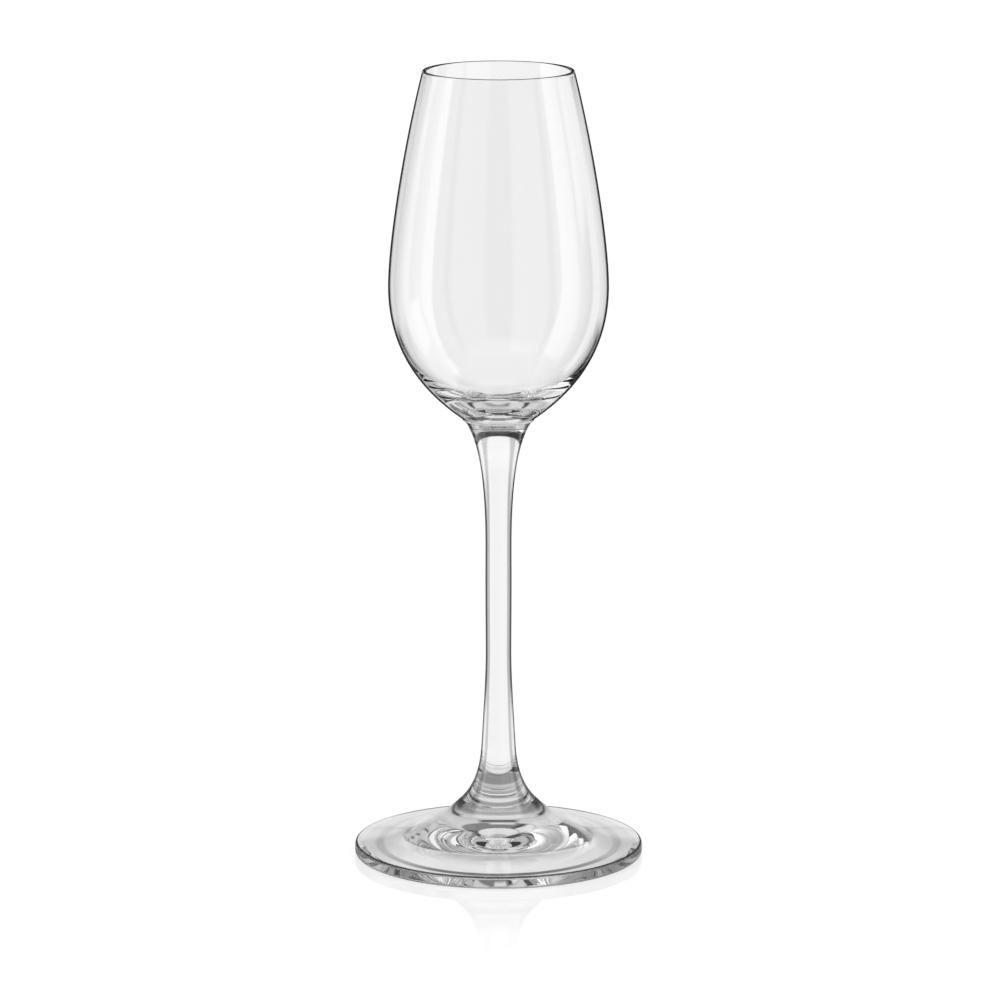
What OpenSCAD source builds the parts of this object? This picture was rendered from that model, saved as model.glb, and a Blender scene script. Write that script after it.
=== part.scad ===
// Cordial glass in three pieces of clear glass: a blown bowl, a solid pressed stem and a turned foot.
// The pieces are fused end to end on one axis. The origin is the middle of the resting face, +Z is up.
// Every outline runs through a few named stations, joined by smooth curves. A lean is measured from
// straight down, and is positive where the outline moves away from the axis on its way down.

/* [Bowl] */
// Height of the bowl from its seat on the stem to the rim
bowl_h = 68.9; // [60:0.1:80]
// Outer diameter at the rim
rim_d = 29.6; // [26:0.1:34]
// Wall thickness at the rim
rim_wall = 0.8; // [0.6:0.05:1.2]
// Lean of the wall at the rim, in degrees
rim_lean = 14.3; // [8:0.1:20]
// Outer diameter at the belly, the widest place
belly_d = 43; // [39:0.1:47]
// Height of the belly above the bowl's seat
belly_h = 26.5; // [22:0.1:32]
// Wall thickness at the belly
belly_wall = 0.8; // [0.6:0.05:1.2]
// Thickness of the bowl's solid base, from its seat to the inner floor
base_h = 3.1; // [2.6:0.1:6]
// Inward lean of the underside where it meets the stem, in degrees
base_lean = 55; // [45:1:65]
// Radius of the rounded bead round the bowl's seat
bead_r = 0.5; // [0.3:0.05:0.8]

/* [Stem] */
// Length of the stem between its two joints
stem_l = 76.1; // [65:0.1:90]
// Diameter of the joint between stem and bowl
crown_d = 13.2; // [11:0.1:15]
// Inward lean of the stem under the bowl, in degrees
crown_lean = 35; // [25:1:45]
// Diameter at the waist, the thinnest place
waist_d = 5.16; // [4:0.02:7]
// Distance from the bowl down to the waist
waist_drop = 31.1; // [25:0.1:38]
// Diameter at the ankle, where the stem starts to flare
ankle_d = 6.74; // [5.5:0.02:8.5]
// Height of the ankle above the joint with the foot
ankle_h = 11; // [8:0.1:15]
// Outward lean of the stem at the ankle, in degrees
ankle_lean = 3.3; // [0:0.1:8]

/* [Foot] */
// Height of the joint between stem and foot above the table
hub_h = 11; // [9:0.1:14]
// Diameter of the joint between stem and foot
hub_d = 14.6; // [12:0.1:17]
// Outward lean of the flare at that joint, in degrees
hub_lean = 44; // [35:1:55]
// Outer diameter of the foot
foot_d = 56.9; // [48:0.1:64]
// Thickness of the foot at its edge
edge_h = 2.4; // [1.9:0.05:3]
// Radius of the edge's rounding, above and below
edge_r = 0.6; // [0.4:0.05:0.9]
// Slope of the foot's top at its edge, in degrees
edge_slope = 11; // [7:0.5:14]
// Width of the flat ring that the glass rests on
rest_w = 1.6; // [1:0.1:3]
// Rise of the underside's hollow at its middle
hollow_h = 3.8; // [2:0.1:5]
// Slope of the hollow where it meets that ring, in degrees
hollow_slope = 8; // [4:0.5:12]

/* [Hidden] */

// Curve handles, as shares of the straight distance between the two stations they join
rim_belly_shares = [0.33, 0.21];
belly_seat_shares = [0.44, 0.295];
belly_floor_shares = [0.38, 0.46];
crown_waist_shares = [0.254, 0.254];
waist_ankle_shares = [0.6, 0.6];
ankle_hub_shares = [0.35, 0.35];
hub_edge_shares = [0.45, 0.3];
hollow_ring_shares = [0.25, 0.5];

// Heights of the joints above the table, each stacked on the piece below it
seat_z = hub_h + stem_l;
belly_z = seat_z + belly_h;
floor_z = seat_z + base_h;
glass_h = seat_z + bowl_h;

// Leans of a wall that runs straight down and of a floor that runs in to the axis or out from it
upright = 0;
inward = -90;
outward = 90;

// Straight stretches in a curve, in the quarter turn of a small rounding, and round the axis
curve_steps = 24;
round_steps = 6;
$fn = 128;

// Step from a station along its lean
function along(station, lean, reach) = station + reach * [sin(lean), -cos(lean)];

// Point at share t of the curve with four control points
function bezier_point(a, b, c, d, t) =
    pow(1 - t, 3) * a + 3 * pow(1 - t, 2) * t * b + 3 * (1 - t) * t * t * c + pow(t, 3) * d;

// Smooth outline from one station down to the next, leaving and arriving at the given leans
function curve(top, top_lean, low, low_lean, shares) =
    let (
        gap = norm(low - top),
        top_handle = along(top, top_lean, shares[0] * gap),
        low_handle = along(low, low_lean, -shares[1] * gap)
    )
    [for (i = [0:curve_steps]) bezier_point(top, top_handle, low_handle, low, i / curve_steps)];

// Round corner about a centre, between two angles that are measured from the horizontal
function corner(centre, radius, from, to) =
    let (steps = ceil(round_steps * abs(to - from) / 90))
    [for (i = [0:steps])
        let (angle = from + (to - from) * i / steps)
        centre + radius * [cos(angle), sin(angle)]];

// The same outline, followed the other way
function reversed(points) = [for (i = [len(points) - 1:-1:0]) points[i]];

// The part of a stretch that follows its first point, which the stretch before it ends on
function onward(points) = [for (i = [1:len(points) - 1]) points[i]];

// Outline of the bowl's outside, from the rim down to the bead round its seat
function bowl_outside() =
    let (
        rim = [rim_d / 2, glass_h - rim_wall / 2],
        belly = [belly_d / 2, belly_z],
        bead = [crown_d / 2 + bead_r, seat_z + bead_r]
    )
    concat(
        curve(rim, rim_lean, belly, upright, rim_belly_shares),
        onward(curve(belly, upright, bead, -base_lean, belly_seat_shares)));

// Outline of the bowl's inside, from the rim down to the middle of the floor
function bowl_inside() =
    let (
        rim = [rim_d / 2 - rim_wall, glass_h - rim_wall / 2],
        belly = [belly_d / 2 - belly_wall, belly_z],
        floor_middle = [0, floor_z]
    )
    concat(
        curve(rim, rim_lean, belly, upright, rim_belly_shares),
        onward(curve(belly, upright, floor_middle, inward, belly_floor_shares)));

// Solid of an outline turned about the glass's axis
module turned(points) {
    rotate_extrude() polygon(points);
}

// Thin-walled bowl with a fire-polished rim and a thick base
module bowl() {
    rim_middle = [rim_d / 2 - rim_wall / 2, glass_h - rim_wall / 2];
    bead_middle = [crown_d / 2, seat_z + bead_r];
    color([0.88, 0.93, 0.94, 0.4])
    turned(concat(
        corner(rim_middle, rim_wall / 2, 180, 0),
        onward(bowl_outside()),
        onward(corner(bead_middle, bead_r, 0, -90)),
        [[0, seat_z]],
        reversed(onward(bowl_inside()))));
}

// Solid round stem, flared at the bowl and at the foot
module stem() {
    crown = [crown_d / 2, seat_z];
    waist = [waist_d / 2, seat_z - waist_drop];
    ankle = [ankle_d / 2, hub_h + ankle_h];
    hub = [hub_d / 2, hub_h];
    color([0.82, 0.89, 0.91, 0.4])
    turned(concat(
        [[0, seat_z]],
        curve(crown, -crown_lean, waist, upright, crown_waist_shares),
        onward(curve(waist, upright, ankle, ankle_lean, waist_ankle_shares)),
        onward(curve(ankle, ankle_lean, hub, hub_lean, ankle_hub_shares)),
        [[0, hub_h]]));
}

// Round foot with a sloping top, a rounded edge and a hollow underside inside its resting ring
module foot() {
    hub = [hub_d / 2, hub_h];
    top_middle = [foot_d / 2 - edge_r, edge_h - edge_r];
    low_middle = [foot_d / 2 - edge_r, edge_r];
    top_edge = along(top_middle, 180 - edge_slope, edge_r);
    rest_inner = [foot_d / 2 - edge_r - rest_w, 0];
    hollow_top = [0, hollow_h];
    color([0.78, 0.86, 0.88, 0.4])
    turned(concat(
        [[0, hub_h]],
        curve(hub, hub_lean, top_edge, 90 - edge_slope, hub_edge_shares),
        onward(corner(top_middle, edge_r, 90 - edge_slope, 0)),
        corner(low_middle, edge_r, 0, -90),
        reversed(curve(hollow_top, outward, rest_inner, 90 - hollow_slope, hollow_ring_shares))));
}

bowl();
stem();
foot();
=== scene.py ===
"""Cordial glass: the looks of its bowl, stem and foot in clear, fire-polished glass, in a white studio.

Lengths are in millimetres, as a glassmaker gives them, and mm turns them into metres. An outline is a list of
(radius, height) points. A lean is measured from straight down, in degrees, and is positive where the outline
moves away from the axis on its way down.
"""
import math

import bmesh
import bpy
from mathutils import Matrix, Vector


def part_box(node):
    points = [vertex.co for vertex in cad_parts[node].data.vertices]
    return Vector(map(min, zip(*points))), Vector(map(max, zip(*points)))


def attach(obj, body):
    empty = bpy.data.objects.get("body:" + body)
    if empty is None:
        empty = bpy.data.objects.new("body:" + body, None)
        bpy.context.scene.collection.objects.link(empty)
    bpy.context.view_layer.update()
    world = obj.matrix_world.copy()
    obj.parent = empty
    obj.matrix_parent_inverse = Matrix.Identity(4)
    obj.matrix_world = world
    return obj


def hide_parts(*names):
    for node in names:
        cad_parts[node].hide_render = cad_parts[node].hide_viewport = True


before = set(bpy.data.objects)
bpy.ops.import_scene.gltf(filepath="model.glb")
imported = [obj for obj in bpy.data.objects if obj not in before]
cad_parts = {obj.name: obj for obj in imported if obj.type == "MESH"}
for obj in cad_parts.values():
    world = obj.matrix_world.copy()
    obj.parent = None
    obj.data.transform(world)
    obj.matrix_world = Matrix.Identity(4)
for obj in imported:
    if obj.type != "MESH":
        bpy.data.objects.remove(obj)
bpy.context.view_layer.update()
mm = 0.001

# Stations of the outline that the frame gives
FOOT_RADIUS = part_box("foot")[1].x / mm
HUB_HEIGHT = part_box("foot")[1].z / mm
SEAT_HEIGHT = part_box("bowl")[0].z / mm
GLASS_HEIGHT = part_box("bowl")[1].z / mm
BELLY_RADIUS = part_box("bowl")[1].x / mm
HUB_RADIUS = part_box("stem")[1].x / mm

# Bowl. The shares are a curve's handles, as shares of the straight distance between its two stations.
RIM_RADIUS = 14.8
RIM_WALL = 0.8
RIM_LEAN = 14.3
BELLY_HEIGHT = SEAT_HEIGHT + 26.5
BELLY_WALL = 0.8
FLOOR_HEIGHT = SEAT_HEIGHT + 3.1
BASE_LEAN = 55
BEAD_RADIUS = 0.5
RIM_BELLY_SHARES = (0.33, 0.21)
BELLY_SEAT_SHARES = (0.44, 0.295)
BELLY_FLOOR_SHARES = (0.38, 0.46)

# Stem
CROWN_RADIUS = 6.6
CROWN_LEAN = 35
WAIST_RADIUS = 2.58
WAIST_HEIGHT = SEAT_HEIGHT - 31.1
ANKLE_RADIUS = 3.37
ANKLE_HEIGHT = HUB_HEIGHT + 11
ANKLE_LEAN = 3.3
CROWN_WAIST_SHARES = (0.254, 0.254)
WAIST_ANKLE_SHARES = (0.6, 0.6)
ANKLE_HUB_SHARES = (0.35, 0.35)

# Foot
HUB_LEAN = 44
EDGE_HEIGHT = 2.4
EDGE_RADIUS = 0.6
EDGE_SLOPE = 11
REST_WIDTH = 1.6
HOLLOW_HEIGHT = 3.8
HOLLOW_SLOPE = 8
HUB_EDGE_SHARES = (0.45, 0.3)
HOLLOW_RING_SHARES = (0.25, 0.5)

# Leans of a wall that runs straight down and of a surface that runs in to the axis or out from it
UPRIGHT = 0
INWARD = -90
OUTWARD = 90

# Steps in a curve, in a quarter turn of a small rounding and round the axis, and what counts as on the axis
CURVE_STEPS = 64
ROUND_STEPS = 10
TURN_STEPS = 360
ON_AXIS = 1e-9

# How one stretch of an outline meets the next
SMOOTH = True
SHARP = False

# Glass, and the colour of the painted shade along its edges
WHITE = (1.0, 1.0, 1.0, 1.0)
GLASS_INDEX = 1.52
PAINTED_EDGE_SHADE_COLOUR = (0.02, 0.022, 0.024, 1.0)

# Faint waves of the fire-polished surfaces: their width and depth
BOWL_WAVES = (25, 0.004)
STEM_WAVES = (12, 0.002)
FOOT_WAVES = (10, 0.006)

# Painted shade along the edges of the glass, each (facing where it starts, facing where it is full, share of
# the light that it takes). Facing runs from 0 where the surface looks at the viewer to 1 where it is seen edge
# on. A negative share ends the line before it. An edge may add the heights between which it grows, as grown
# reads them.
BOWL_PAINTED_EDGES = [(0.76, 0.84, 1.0)]
RIM_PAINTED_EDGES = [(0.88, 0.95, 0.8)]
STEM_PAINTED_EDGES = [(0.23, 0.30, 0.45), (0.44, 0.56, 0.45)]

# In the flares at both ends of the stem, its painted edge shade gives way to a thin painted outline and a
# painted grey line inside it
FLARE_PAINTED_EDGES = [(0.56, 0.68, 0.75), (0.21, 0.27, 0.38), (0.35, 0.42, -0.38)]
STEM_MIDDLE = (26, 36, 66, 80)
UPPER_FLARE = (66, 76)
LOWER_FLARE = (36, 26)
SIDE_PAINTED_EDGES = ([(*edge, *STEM_MIDDLE) for edge in STEM_PAINTED_EDGES]
              + [(*edge, *UPPER_FLARE) for edge in FLARE_PAINTED_EDGES]
              + [(*edge, *LOWER_FLARE) for edge in FLARE_PAINTED_EDGES])

# The foot's hub has the stem's painted edge shade, its top has a painted dark line just above the rounding of
# its edge, and the rounding is painted darker nearly all over
HUB_RISE = (8, 10.5)
HUB_PAINTED_EDGES = [(*edge, *HUB_RISE) for edge in STEM_PAINTED_EDGES]
TOP_PAINTED_LINE = (0.84, 0.91, 0.7, 2.8, 2.6)
ROUNDING_PAINTED_EDGES = [(0.08, 0.20, 0.4)]

# Painted shade on the crests of roundings, darker where the surface faces up: how far up the surface faces
# where each starts and where it is full, and its share
RIM_PAINTED_CREST = (0.7, 0.85, 1.0)
ROUNDING_PAINTED_CREST = (0.5, 0.7, 0.85)

# Dark room of the reflections, and its panels of light: each (side from, side to, rise from, rise to) and its
# level. Sides are degrees right of straight ahead in the photograph, and rises are degrees above the horizon.
ROOM_LEVEL = 0.04
PANEL_SOFTNESS = 2.5
PANELS = [
    # Behind the glass, from the horizon up
    ((-20, 19, -22, 9), 0.75),
    ((-52, -8, 8, 27), 0.64),
    ((8, 40, 8, 27), 0.62),
    ((-10, 10, 8, 15), 0.6),
    ((-10, 10, 22, 27), 0.42),
    ((-42, -16, 26, 45), 0.75),
    ((-12, 30, 26, 45), 0.2),
    ((-9, 5, 25, 32), 0.7),
    ((-37, -17, -16.5, 1), 0.7),
    ((17, 48, -16.5, 1), 0.7),
    # Overhead, all the way round
    ((-200, 200, 45, 68), 0.77),
    ((-200, 200, 66, 100), 0.5),
    # Low behind the glass, down to the table
    ((-22, 14, -32, -20), 0.92),
    ((-22, 14, -50, -32), 0.3),
    ((-40, 40, -100, -50), 0.82),
    # On the right, from the far side round to behind the camera
    ((46, 62, -45, 4), 0.9),
    ((46, 79, 0, 24), 0.95),
    ((85, 117, -45, 45), 0.6),
    ((125, 165, -45, 45), 0.5),
]

# Softbox on the left: its area as a panel's, its levels at its near and far side, and its border's softness
LEFT_BOX = (-106, -35, -60, 45)
LEFT_BOX_LEVELS = (1.4, 0.4)
LEFT_BOX_SOFTNESS = 0.8

# A fade is (where it starts, where it ends, level before it, level after it). This is the backdrop's, as it is
# seen straight through the glass, by its rise.
BACKDROP_FADE = (17, 20, 1.0, 0.05)

# Floor: its size in metres, and the gap between it and the resting ring
FLOOR_SIZE = 6.0
FLOOR_GAP = 0.05

# The floor in the camera's view: its glow, the share of matt white that takes the shadow, and a mirror image
# that fades away from the axis
FLOOR_GLOW = 1.05
MATT_COLOUR = (0.9, 0.9, 0.9, 1.0)
MATT_SHARE = 0.18
MIRROR_ROUGHNESS = 0.05
MIRROR_FADE = (30, 85, 0.16, 0.0)

# The floor seen straight through the glass, by the distance from the axis: a painted shadow, dim under the
# foot's middle and white beyond the foot, with a thin ring of painted shadow (from, to, softness, share) that
# fades from front to back
UNDER_FOOT_PAINTED_SHADOW = (4, 20, 0.5, 0.92)
BEYOND_FADE = (28, 45, 0.0, 0.05)
PAINTED_RING_SHADOW = (22.4, 24, 0.3, 0.85)
PAINTED_RING_SHADOW_FADE = (-23, -5, 1.0, 0.3)

# The floor under the foot for light that was turned back inside the glass: painted shade in a disc and three
# rings, each with the radii where it starts and ends and how much dimmer than white it is. Past a margin round
# the foot, such light goes on through the floor.
PAINTED_FLOOR_SHADE = [(-10, 11, 0.72), (11, 15, 0.45), (15, 22, 0.6), (22, 40, 0.6)]
PAINTED_SHADE_SOFTNESS = 1.5
FOOT_MARGIN = 1

# Camera: its place and its reach in metres, its pitch in degrees, its lens and sensor
CAMERA_PLACE = (0.00029, -1.0864, 0.2952)
CAMERA_REACH = 20.0
CAMERA_PITCH = 11.65
CAMERA_LENS = 203.6
SENSOR_WIDTH = 36

# How often light may turn inside the glass
BOUNCES = 32
GLOSSY_BOUNCES = 24


def along(station, lean, reach):
    """The point at a reach from a station along its lean."""
    turn = math.radians(lean)
    return (station[0] + reach * math.sin(turn), station[1] - reach * math.cos(turn))


def curve(top, top_lean, low, low_lean, shares):
    """A smooth outline from one station down to the next, leaving and arriving at the given leans."""
    gap = math.dist(top, low)
    handles = (top, along(top, top_lean, shares[0] * gap), along(low, low_lean, -shares[1] * gap), low)
    points = []
    for i in range(CURVE_STEPS + 1):
        t = i / CURVE_STEPS
        weights = ((1 - t) ** 3, 3 * (1 - t) ** 2 * t, 3 * (1 - t) * t ** 2, t ** 3)
        points.append(tuple(sum(w * p[k] for w, p in zip(weights, handles)) for k in (0, 1)))
    return points


def corner(centre, radius, start, end):
    """A rounded corner about a centre, between two angles measured from the horizontal."""
    steps = max(1, round(ROUND_STEPS * abs(end - start) / 90))
    angles = [math.radians(start + (end - start) * i / steps) for i in range(steps + 1)]
    return [(centre[0] + radius * math.cos(a), centre[1] + radius * math.sin(a)) for a in angles]


def turn_of(mesh_data, radius, height):
    """The points of an outline's point turned about the axis, or the one point of a point on the axis."""
    if radius < ON_AXIS:
        return [mesh_data.verts.new((0, 0, height * mm))]
    angles = [2 * math.pi * i / TURN_STEPS for i in range(TURN_STEPS)]
    places = [(radius * mm * math.cos(a), radius * mm * math.sin(a), height * mm) for a in angles]
    return [mesh_data.verts.new(place) for place in places]


def bridge(mesh_data, ring, next_ring, slot):
    """Smooth faces between two rings, either of which may be one point on the axis."""
    count = max(len(ring), len(next_ring))
    for i in range(count):
        j = i + 1
        corners = [ring[i % len(ring)], ring[j % len(ring)],
                   next_ring[j % len(next_ring)], next_ring[i % len(next_ring)]]
        face = mesh_data.faces.new(list(dict.fromkeys(corners)))
        face.smooth = True
        face.material_index = slot


def sharpen(mesh_data, ring):
    """Make the edges of a ring sharp."""
    for i, vert in enumerate(ring):
        mesh_data.edges.get((vert, ring[(i + 1) % len(ring)])).smooth = False


def lathe(name, stretches, materials):
    """A closed solid of revolution that starts on the axis. Each stretch is an outline that starts where the
    last one ended, the name of its material, and how it meets the next stretch."""
    mesh_data = bmesh.new()
    slots = list(materials)
    ring = turn_of(mesh_data, *stretches[0][0][0])
    for outline, surface, meeting in stretches:
        for radius, height in outline[1:]:
            next_ring = turn_of(mesh_data, radius, height)
            bridge(mesh_data, ring, next_ring, slots.index(surface))
            ring = next_ring
        if meeting == SHARP:
            sharpen(mesh_data, ring)
    bmesh.ops.recalc_face_normals(mesh_data, faces=mesh_data.faces)
    mesh = bpy.data.meshes.new(name)
    mesh_data.to_mesh(mesh)
    mesh_data.free()
    for material in materials.values():
        mesh.materials.append(material)
    piece = bpy.data.objects.new(name, mesh)
    bpy.context.scene.collection.objects.link(piece)
    return piece


def bowl_stretches():
    """The bowl's outline: its fused seat, the outside, the rim and the inside."""
    rim_middle = (RIM_RADIUS - RIM_WALL / 2, GLASS_HEIGHT - RIM_WALL / 2)
    bead_middle = (CROWN_RADIUS, SEAT_HEIGHT + BEAD_RADIUS)
    rim_outer = (RIM_RADIUS, rim_middle[1])
    rim_inner = (RIM_RADIUS - RIM_WALL, rim_middle[1])
    belly_outer = (BELLY_RADIUS, BELLY_HEIGHT)
    belly_inner = (BELLY_RADIUS - BELLY_WALL, BELLY_HEIGHT)
    bead = (CROWN_RADIUS + BEAD_RADIUS, bead_middle[1])
    seat = [(0, SEAT_HEIGHT), (CROWN_RADIUS, SEAT_HEIGHT)]
    outside = corner(bead_middle, BEAD_RADIUS, -90, 0)
    outside += curve(belly_outer, UPRIGHT, bead, -BASE_LEAN, BELLY_SEAT_SHARES)[::-1][1:]
    outside += curve(rim_outer, RIM_LEAN, belly_outer, UPRIGHT, RIM_BELLY_SHARES)[::-1][1:]
    rim = corner(rim_middle, RIM_WALL / 2, 0, 180)
    inside = curve(rim_inner, RIM_LEAN, belly_inner, UPRIGHT, RIM_BELLY_SHARES)
    inside += curve(belly_inner, UPRIGHT, (0, FLOOR_HEIGHT), INWARD, BELLY_FLOOR_SHARES)[1:]
    return [(seat, "joint", SHARP), (outside, "outside", SMOOTH), (rim, "rim", SMOOTH),
            (inside, "inside", SMOOTH)]


def stem_stretches():
    """The stem's outline: its fused joint with the foot, the side and the fused joint with the bowl."""
    crown = (CROWN_RADIUS, SEAT_HEIGHT)
    waist = (WAIST_RADIUS, WAIST_HEIGHT)
    ankle = (ANKLE_RADIUS, ANKLE_HEIGHT)
    hub = (HUB_RADIUS, HUB_HEIGHT)
    side = curve(ankle, ANKLE_LEAN, hub, HUB_LEAN, ANKLE_HUB_SHARES)[::-1]
    side += curve(waist, UPRIGHT, ankle, ANKLE_LEAN, WAIST_ANKLE_SHARES)[::-1][1:]
    side += curve(crown, -CROWN_LEAN, waist, UPRIGHT, CROWN_WAIST_SHARES)[::-1][1:]
    low_joint = [(0, HUB_HEIGHT), hub]
    high_joint = [crown, (0, SEAT_HEIGHT)]
    return [(low_joint, "joint", SHARP), (side, "side", SHARP), (high_joint, "joint", SMOOTH)]


def foot_stretches():
    """The foot's outline: its hollow underside, the resting ring, the edge, the top and the fused joint."""
    hub = (HUB_RADIUS, HUB_HEIGHT)
    edge_middle = FOOT_RADIUS - EDGE_RADIUS
    top_middle = (edge_middle, EDGE_HEIGHT - EDGE_RADIUS)
    low_middle = (edge_middle, EDGE_RADIUS)
    top_edge = along(top_middle, 180 - EDGE_SLOPE, EDGE_RADIUS)
    rest_inner = (edge_middle - REST_WIDTH, 0)
    hollow = curve((0, HOLLOW_HEIGHT), OUTWARD, rest_inner, 90 - HOLLOW_SLOPE, HOLLOW_RING_SHARES)
    ring = [rest_inner, (edge_middle, 0)]
    edge = corner(low_middle, EDGE_RADIUS, -90, 0) + corner(top_middle, EDGE_RADIUS, 0, 90 - EDGE_SLOPE)
    top = curve(hub, HUB_LEAN, top_edge, 90 - EDGE_SLOPE, HUB_EDGE_SHARES)[::-1]
    joint = [hub, (0, HUB_HEIGHT)]
    return [(hollow, "side", SHARP), (ring, "side", SMOOTH), (edge, "rounding", SMOOTH),
            (top, "side", SHARP), (joint, "joint", SMOOTH)]


def new_tree(block):
    """An emptied node tree of a material or world."""
    block.use_nodes = True
    block.node_tree.nodes.clear()
    return block.node_tree


def node(tree, kind, inputs=None, **settings):
    """A node with its settings, and its inputs set to values or linked to sockets."""
    made = tree.nodes.new("ShaderNode" + kind)
    for key, value in settings.items():
        setattr(made, key, value)
    for key, value in (inputs or {}).items():
        if isinstance(value, bpy.types.NodeSocket):
            tree.links.new(value, made.inputs[key])
        else:
            made.inputs[key].default_value = value
    return made


def maths(tree, operation, *values):
    """The result of a Math node."""
    return node(tree, "Math", dict(enumerate(values)), operation=operation).outputs[0]


def over_zero(tree, depth):
    """1 where a depth, which counts whole turns, is over zero, and otherwise 0."""
    return maths(tree, "GREATER_THAN", depth, 0.5)


def mix_values(tree, share, first, second):
    """A number between two others, the first at share 0 and the second at share 1."""
    return node(tree, "Mix", {0: share, 2: first, 3: second}).outputs[0]


def mix_shaders(tree, share, first, second):
    """A shader between two others, the first at share 0 and the second at share 1."""
    return node(tree, "MixShader", {0: share, 1: first, 2: second}).outputs[0]


def ramp(tree, value, low, high, start=0.0, end=1.0):
    """A smooth step of a value from start to end between low and high."""
    inputs = {"Value": value, "From Min": low, "From Max": high, "To Min": start, "To Max": end}
    return node(tree, "MapRange", inputs, interpolation_type="SMOOTHSTEP").outputs[0]


def ramp_mm(tree, length, low, high, start=0.0, end=1.0):
    """A smooth step of a length in metres from start to end between low and high in millimetres."""
    return ramp(tree, length, low * mm, high * mm, start, end)


def window(tree, value, low, high, soft, level=1.0):
    """A level inside low to high, falling to nothing over a soft width on both sides."""
    rise = ramp(tree, value, low - soft, low + soft, 0.0, level)
    fall = ramp(tree, value, high - soft, high + soft, 1.0, 0.0)
    return maths(tree, "MULTIPLY", rise, fall)


def window_mm(tree, length, low, high, soft, level):
    """A level where a length in metres is inside low to high in millimetres."""
    return window(tree, length, low * mm, high * mm, soft * mm, level)


def grown(tree, height, fade):
    """How far an edge has grown at a height: from nothing at its fade's first height to all at the second.
    With four heights, it is whole from the second to the third and nothing again at the fourth."""
    if len(fade) == 4:
        return maths(tree, "MULTIPLY", grown(tree, height, fade[:2]), grown(tree, height, fade[:1:-1]))
    if fade[0] < fade[1]:
        return ramp_mm(tree, height, fade[0], fade[1])
    return ramp_mm(tree, height, fade[1], fade[0], 1.0, 0.0)


def joint_material():
    """Fused glass inside a joint, where light crosses with no surface to bend it."""
    material = bpy.data.materials.new("fused_joint")
    tree = new_tree(material)
    clear = node(tree, "BsdfTransparent")
    node(tree, "OutputMaterial", {"Surface": clear.outputs[0]})
    return material


def wavy_glass(tree, place, waves):
    """Clear glass with the faint waves of a fire-polished surface."""
    width, depth = waves
    noise = node(tree, "TexNoise", {"Vector": place, "Scale": 1 / (width * mm), "Detail": 2.0})
    bump = node(tree, "Bump", {"Height": noise.outputs["Fac"], "Distance": depth * mm, "Strength": 1.0})
    return node(tree, "BsdfPrincipled", {
        "Base Color": WHITE, "Roughness": 0.0, "IOR": GLASS_INDEX, "Transmission Weight": 1.0,
        "Normal": bump.outputs[0]}).outputs[0]


def painted_edge_shade(tree, height, normal, edges, crest):
    """The share of the light that the painted shade along a surface's edges and on its crest takes."""
    facing = node(tree, "LayerWeight", {"Blend": 0.5}).outputs["Facing"]
    painted_share = 0.0
    # Each edge paints a band of shade where the surface is seen near edge on
    for start, full, share, *fade in edges:
        line = ramp(tree, facing, start, full, 0.0, share)
        if fade:
            line = maths(tree, "MULTIPLY", line, grown(tree, height, fade))
        painted_share = maths(tree, "ADD", painted_share, line)
    # The crest is painted darker where the surface faces up
    if crest:
        start, full, share = crest
        upward = node(tree, "SeparateXYZ", {0: normal}).outputs[2]
        painted_share = maths(tree, "MAXIMUM", painted_share, ramp(tree, upward, start, full, 0.0, share))
    return painted_share


def glass_material(name, waves, edges, crest=None):
    """Clear glass with painted shade along its edges and its crest: a dark diffuse mixed in on faces where
    light enters it.
    """
    material = bpy.data.materials.new(name)
    tree = new_tree(material)
    place = node(tree, "TexCoord").outputs["Object"]
    height = node(tree, "SeparateXYZ", {0: place}).outputs[2]
    geometry = node(tree, "NewGeometry").outputs
    entering = maths(tree, "SUBTRACT", 1.0, geometry["Backfacing"])
    painted_share = painted_edge_shade(tree, height, geometry["Normal"], edges, crest)
    # Dark diffuse mixed into the glass: the painted shade of its edges and crests
    dark = node(tree, "BsdfDiffuse", {"Color": PAINTED_EDGE_SHADE_COLOUR}).outputs[0]
    share = maths(tree, "MULTIPLY", painted_share, entering)
    result = mix_shaders(tree, share, wavy_glass(tree, place, waves), dark)
    node(tree, "OutputMaterial", {"Surface": result})
    return material


def floor_in_view(tree, away, matt):
    """The floor as the camera sees it: white, with a soft shadow and a faint mirror image near the foot."""
    white = node(tree, "Emission", {"Color": WHITE, "Strength": FLOOR_GLOW}).outputs[0]
    mirror = node(tree, "BsdfGlossy", {"Color": WHITE, "Roughness": MIRROR_ROUGHNESS}).outputs[0]
    plain = mix_shaders(tree, MATT_SHARE, white, matt)
    return mix_shaders(tree, ramp_mm(tree, away, *MIRROR_FADE), plain, mirror)


def straight_painted_shadow(tree, away, behind):
    """How bright the floor is for light that comes straight through the glass, with a painted shadow under the
    foot and its resting ring.
    """
    level = maths(tree, "ADD", ramp_mm(tree, away, *UNDER_FOOT_PAINTED_SHADOW), ramp_mm(tree, away, *BEYOND_FADE))
    strength = ramp_mm(tree, behind, *PAINTED_RING_SHADOW_FADE)
    ring = maths(tree, "MULTIPLY", window_mm(tree, away, *PAINTED_RING_SHADOW), strength)
    return maths(tree, "MULTIPLY", level, maths(tree, "SUBTRACT", 1.0, ring))


def turned_painted_shade(tree, away):
    """How bright the floor is for light that was turned back inside the glass, with painted shade under the
    foot.
    """
    level = 1.0
    for start, end, shade_dip in PAINTED_FLOOR_SHADE:
        ring = window_mm(tree, away, start, end, PAINTED_SHADE_SOFTNESS, shade_dip)
        level = maths(tree, "SUBTRACT", level, ring)
    return level


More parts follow.
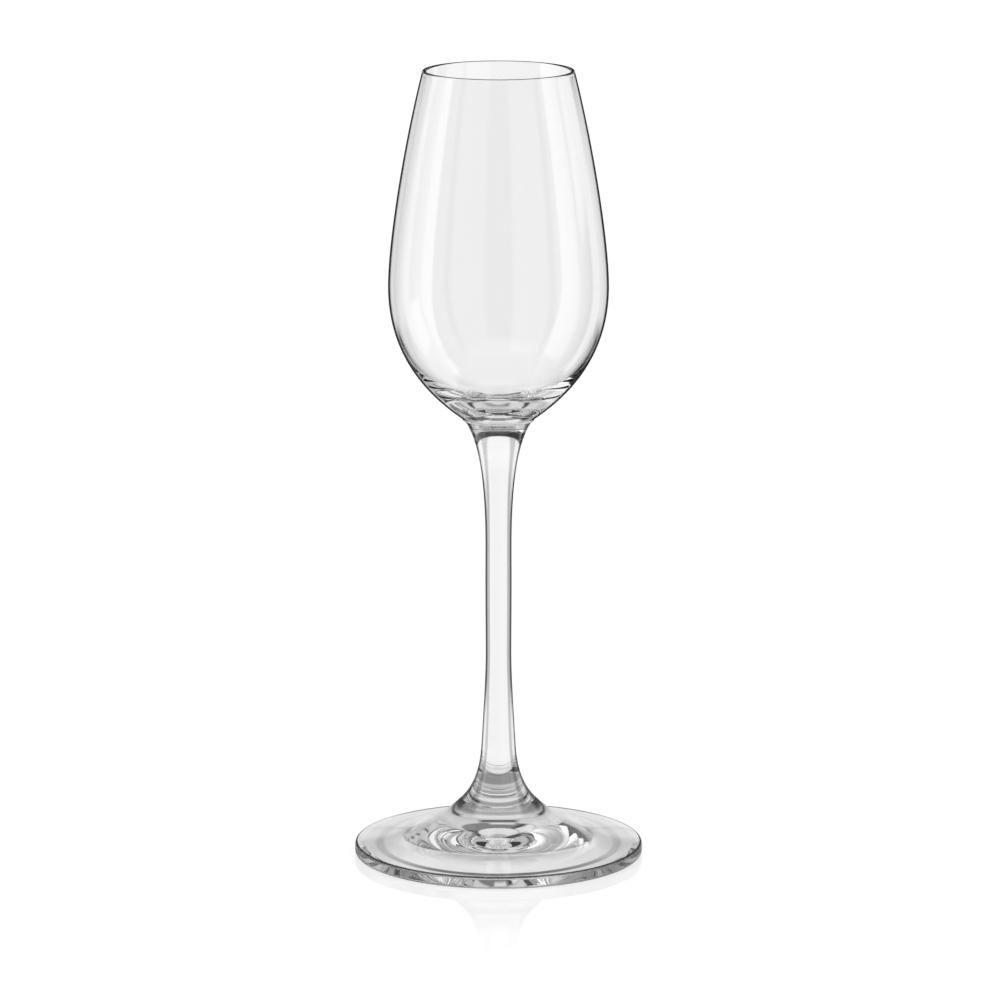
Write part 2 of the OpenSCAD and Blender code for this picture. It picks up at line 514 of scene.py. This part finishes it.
def floor_material():
    """White floor. It is one thing to the camera, one to light straight through the glass, and one to light
    that was turned back inside the glass, which beyond the foot goes on into the dark room. Both kinds of
    light through the glass see painted shadows under the foot."""
    material = bpy.data.materials.new("white_floor")
    tree = new_tree(material)
    path = node(tree, "LightPath").outputs
    place = node(tree, "SeparateXYZ", {0: node(tree, "TexCoord").outputs["Object"]}).outputs
    flat = node(tree, "CombineXYZ", {0: place[0], 1: place[1]}).outputs[0]
    away = node(tree, "VectorMath", {0: flat}, operation="LENGTH").outputs["Value"]
    matt = node(tree, "BsdfDiffuse", {"Color": MATT_COLOUR}).outputs[0]
    clear = node(tree, "BsdfTransparent").outputs[0]
    turned_back = over_zero(tree, path["Glossy Depth"])
    level = mix_values(tree, turned_back, straight_painted_shadow(tree, away, place[1]), turned_painted_shade(tree, away))
    # Through the glass the floor glows with painted shadows under the foot
    painted_shadow_glow = node(tree, "Emission", {"Color": WHITE, "Strength": level}).outputs[0]
    beyond = maths(tree, "GREATER_THAN", away, (FOOT_RADIUS + FOOT_MARGIN) * mm)
    through = mix_shaders(tree, maths(tree, "MULTIPLY", turned_back, beyond), painted_shadow_glow, clear)
    seen = mix_shaders(tree, path["Is Camera Ray"], through, floor_in_view(tree, away, matt))
    result = mix_shaders(tree, path["Is Diffuse Ray"], seen, matt)
    node(tree, "OutputMaterial", {"Surface": result})
    return material


def make_floor():
    """The studio floor, a hair below the glass so that the resting ring keeps its own surface."""
    bpy.ops.mesh.primitive_plane_add(size=FLOOR_SIZE, location=(0, 0, -FLOOR_GAP * mm))
    floor = bpy.context.object
    floor.name = "studio_floor"
    floor.data.materials.append(floor_material())


def panel(tree, side, rise, area, level, soft=PANEL_SOFTNESS):
    """The light of a soft-edged panel: its area is (side from, side to, rise from, rise to), in degrees."""
    side_from, side_to, rise_from, rise_to = area
    across = window(tree, side, side_from, side_to, soft)
    upward = window(tree, rise, rise_from, rise_to, soft)
    return maths(tree, "MULTIPLY", maths(tree, "MULTIPLY", across, upward), level)


def room_light(tree, side, rise):
    """The dark room with its softbox and its panels, of which the brightest shows where they overlap."""
    left_level = ramp(tree, side, *LEFT_BOX[:2], *LEFT_BOX_LEVELS)
    left_box = panel(tree, side, rise, LEFT_BOX, left_level, LEFT_BOX_SOFTNESS)
    room = maths(tree, "MAXIMUM", left_box, ROOM_LEVEL)
    for area, level in PANELS:
        room = maths(tree, "MAXIMUM", room, panel(tree, side, rise, area, level))
    return room


def make_world():
    """White surroundings, a backdrop seen straight through the glass, and a dark room in its reflections."""
    world = bpy.data.worlds.new("studio")
    bpy.context.scene.world = world
    tree = new_tree(world)
    path = node(tree, "LightPath").outputs
    way = node(tree, "SeparateXYZ", {0: node(tree, "TexCoord").outputs["Generated"]}).outputs
    side = maths(tree, "DEGREES", maths(tree, "ARCTAN2", way[0], way[1]))
    rise = maths(tree, "DEGREES", maths(tree, "ARCSINE", way[2]))
    turned_back = maths(tree, "MULTIPLY", over_zero(tree, path["Glossy Depth"]), path["Is Singular Ray"])
    backdrop = ramp(tree, rise, *BACKDROP_FADE)
    in_glass = mix_values(tree, turned_back, backdrop, room_light(tree, side, rise))
    plain = maths(tree, "MAXIMUM", path["Is Camera Ray"], over_zero(tree, path["Diffuse Depth"]))
    mirrored = maths(tree, "SUBTRACT", path["Is Glossy Ray"], path["Is Singular Ray"])
    strength = mix_values(tree, maths(tree, "MAXIMUM", plain, mirrored), in_glass, 1.0)
    background = node(tree, "Background", {"Color": WHITE, "Strength": strength})
    node(tree, "OutputWorld", {"Surface": background.outputs[0]})


def make_camera():
    """The camera at the photograph's viewing angle."""
    data = bpy.data.cameras.new("studio_camera")
    data.lens = CAMERA_LENS
    data.sensor_width = SENSOR_WIDTH
    data.sensor_fit = "HORIZONTAL"
    data.clip_end = CAMERA_REACH
    camera = bpy.data.objects.new("studio_camera", data)
    bpy.context.scene.collection.objects.link(camera)
    camera.location = CAMERA_PLACE
    camera.rotation_euler = (math.radians(90 - CAMERA_PITCH), 0, 0)
    bpy.context.scene.camera = camera


def dress():
    """The three pieces of glass, each in the place of its CAD node."""
    joint = joint_material()
    bowl_glass = {
        "outside": glass_material("bowl_glass_outside", BOWL_WAVES, BOWL_PAINTED_EDGES),
        "joint": joint,
        "inside": glass_material("bowl_glass_inside", BOWL_WAVES, []),
        "rim": glass_material("bowl_glass_rim", BOWL_WAVES, RIM_PAINTED_EDGES, RIM_PAINTED_CREST),
    }
    stem_glass = {
        "side": glass_material("stem_glass", STEM_WAVES, SIDE_PAINTED_EDGES),
        "joint": joint,
    }
    foot_glass = {
        "side": glass_material("foot_glass", FOOT_WAVES, [*HUB_PAINTED_EDGES, TOP_PAINTED_LINE]),
        "joint": joint,
        "rounding": glass_material("foot_glass_edge", FOOT_WAVES, ROUNDING_PAINTED_EDGES, ROUNDING_PAINTED_CREST),
    }
    pieces = {
        "bowl": lathe("bowl_glass", bowl_stretches(), bowl_glass),
        "stem": lathe("stem_glass", stem_stretches(), stem_glass),
        "foot": lathe("foot_glass", foot_stretches(), foot_glass),
    }
    for name, piece in pieces.items():
        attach(piece, "root")
        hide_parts(name)


def set_light_paths():
    """Enough bounces for light that is turned round inside thick glass, and the plain view transform."""
    scene = bpy.context.scene
    scene.view_settings.view_transform = "Standard"
    scene.cycles.max_bounces = BOUNCES
    scene.cycles.transmission_bounces = BOUNCES
    scene.cycles.glossy_bounces = GLOSSY_BOUNCES
    scene.cycles.transparent_max_bounces = BOUNCES


make_camera()
set_light_paths()
make_world()
make_floor()
dress()
